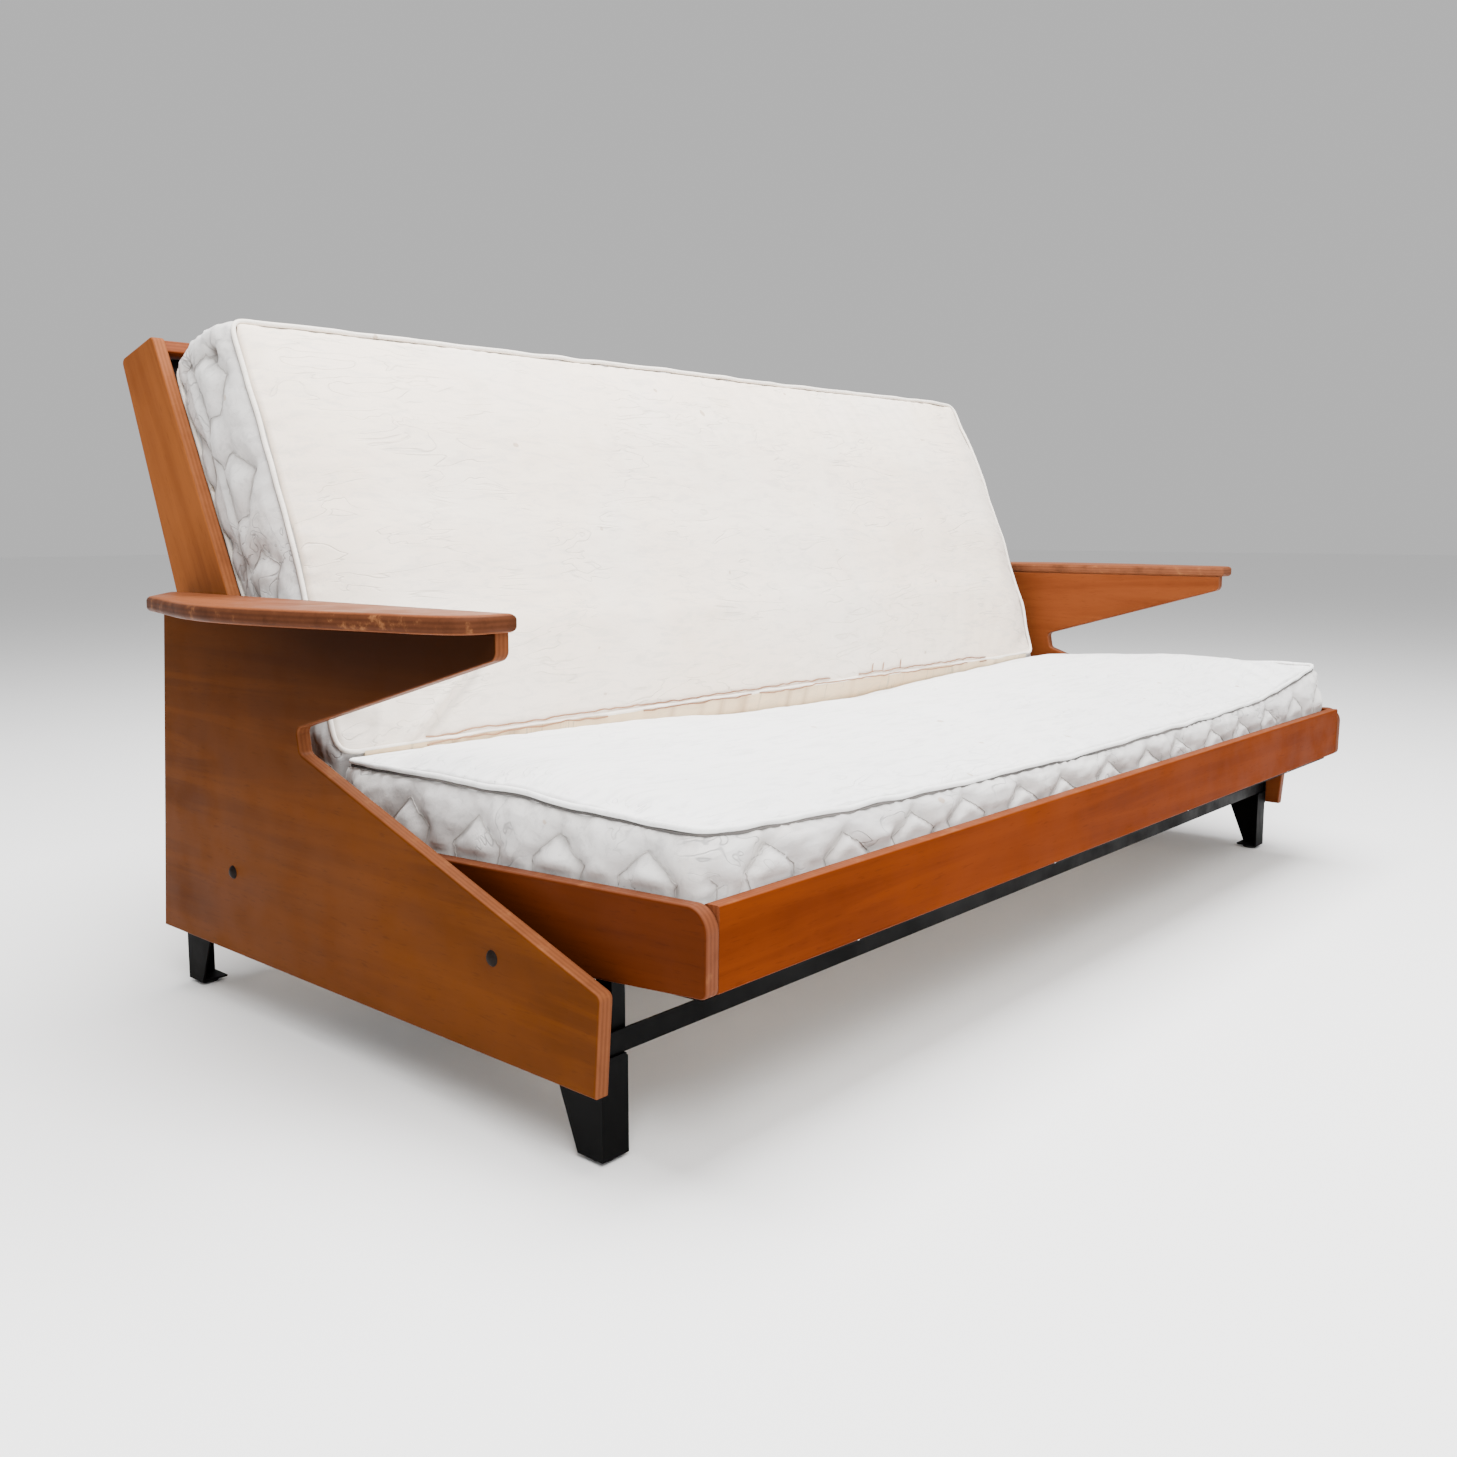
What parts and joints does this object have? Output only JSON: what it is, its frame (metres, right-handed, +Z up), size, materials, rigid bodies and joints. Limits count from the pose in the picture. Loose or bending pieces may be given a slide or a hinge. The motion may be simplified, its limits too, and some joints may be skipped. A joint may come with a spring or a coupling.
{
  "type": "sofa bed",
  "caption": "Fold-out sofa bed: slatted seat and back trays on a steel chassis between plywood side panels with arm wings, with a two-part mattress.",
  "frame": {"origin": "on the floor under the middle of the sofa", "axes": "+X along the seat to the sitter's left, -Y the front, +Z up"},
  "size_m": [2.264, 1.1881, 0.9738],
  "materials": {
    "stained_plywood": "satin varnished plywood with visible edge plies",
    "beech": "plain sprung beech",
    "black_steel": "black satin paint",
    "zinc_steel": "zinc plated",
    "dark_caps": "dark burnished bolt heads",
    "black_plastic": "moulded, slightly rough",
    "canvas": "off-white cotton canvas, quilted border",
    "strip_fabric": "beige cotton strip, wrinkled seams"
  },
  "bodies": {
    "base": {"side_panel_left": "stained_plywood", "side_panel_right": "stained_plywood", "arm_board_left": "stained_plywood", "arm_board_right": "stained_plywood", "arm_dowels": "beech", "panel_bolts": "dark_caps", "panel_spacers": "black_plastic", "panel_nuts": "zinc_steel", "front_rail": "black_steel", "rear_rail": "black_steel", "side_frame_left": "black_steel", "side_frame_right": "black_steel", "seat_support_left": "black_steel", "seat_support_right": "black_steel", "leg_front_left": "black_steel", "leg_front_right": "black_steel", "leg_rear_left": "black_steel", "leg_rear_right": "black_steel", "foot_glides": "black_plastic"},
    "swing": {"torsion_bar": "black_steel", "hinge_pins": "zinc_steel", "swing_arm_left": "black_steel", "swing_arm_right": "black_steel"},
    "seat": {"seat_hinge_plate_left": "black_steel", "seat_hinge_plate_right": "black_steel", "ratchet_drum_left": "black_steel", "ratchet_drum_right": "black_steel", "seat_side_board_left": "stained_plywood", "seat_side_board_right": "stained_plywood", "seat_front_board": "stained_plywood", "seat_frame_hinge_tube": "black_steel", "seat_frame_outer_tube": "black_steel", "seat_frame_side_tube_left": "black_steel", "seat_frame_side_tube_right": "black_steel", "seat_slats": "beech", "seat_slat_caps": "black_plastic", "seat_board_screws": "zinc_steel", "mattress_seat": "canvas", "mattress_strip": "strip_fabric"},
    "back": {"back_hinge_plate_left": "black_steel", "back_hinge_plate_right": "black_steel", "back_side_board_left": "stained_plywood", "back_side_board_right": "stained_plywood", "back_top_board": "stained_plywood", "back_frame_hinge_tube": "black_steel", "back_frame_outer_tube": "black_steel", "back_frame_side_tube_left": "black_steel", "back_frame_side_tube_right": "black_steel", "back_slats": "beech", "back_slat_caps": "black_plastic", "back_board_screws": "zinc_steel", "mattress_back": "canvas"}
  },
  "joints": [
    {"name": "carriage_swing", "type": "hinge", "parent": "base", "child": "swing", "pos_m": [0, -0.0258, 0.125], "axis": [1, 0, 0], "range_deg": [0, 70]},
    {"name": "seat_level", "type": "hinge", "parent": "swing", "child": "seat", "pos_m": [0, 0.1423, 0.1894], "axis": [1, 0, 0], "range_deg": [-67.4, 0]},
    {"name": "back_fold", "type": "hinge", "parent": "seat", "child": "back", "pos_m": [0, 0.1423, 0.1894], "axis": [-1, 0, 0], "range_deg": [0, 65.9]}
  ],
  "couplings": [
    {"joint": "seat_level", "follows": "carriage_swing", "ratio": -0.96186},
    {"joint": "back_fold", "follows": "carriage_swing", "ratio": 0.941}
  ]
}
